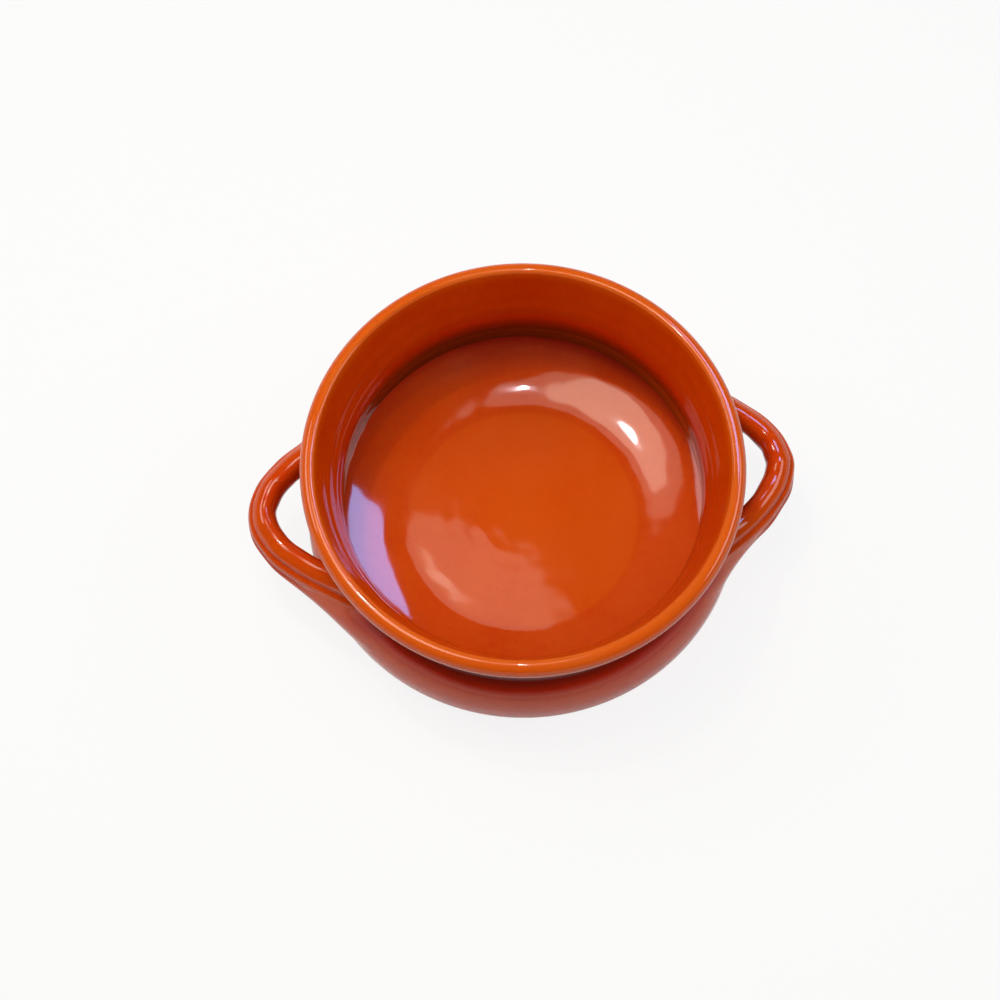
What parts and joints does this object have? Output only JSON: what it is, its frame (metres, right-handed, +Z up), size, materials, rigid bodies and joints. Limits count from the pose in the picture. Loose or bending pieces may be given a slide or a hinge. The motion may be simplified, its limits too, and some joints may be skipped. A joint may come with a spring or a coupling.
{
  "type": "baking dish",
  "caption": "Round terracotta baking dish with a waisted neck, a rolled lip and ribbed strap handles on its shoulder, glazed all over but for its bare foot.",
  "frame": {"origin": "on the table under the middle of the foot", "axes": "+Z up along the bowl's axis, X across both handles with the right handle at +X, -Y towards the viewer"},
  "size_m": [0.2612, 0.2092, 0.0927],
  "materials": {
    "terracotta": "bare fired clay, matt",
    "glaze": "honey-brown glaze, high gloss",
    "luting_slip": "fired slip, matt"
  },
  "bodies": {
    "root": {"bowl_body": "terracotta", "interior_glaze": "glaze", "exterior_glaze": "glaze", "left_handle": "terracotta", "left_handle_glaze": "glaze", "left_front_slip": "luting_slip", "left_back_slip": "luting_slip", "right_handle": "terracotta", "right_handle_glaze": "glaze", "right_front_slip": "luting_slip", "right_back_slip": "luting_slip"}
  },
  "joints": []
}
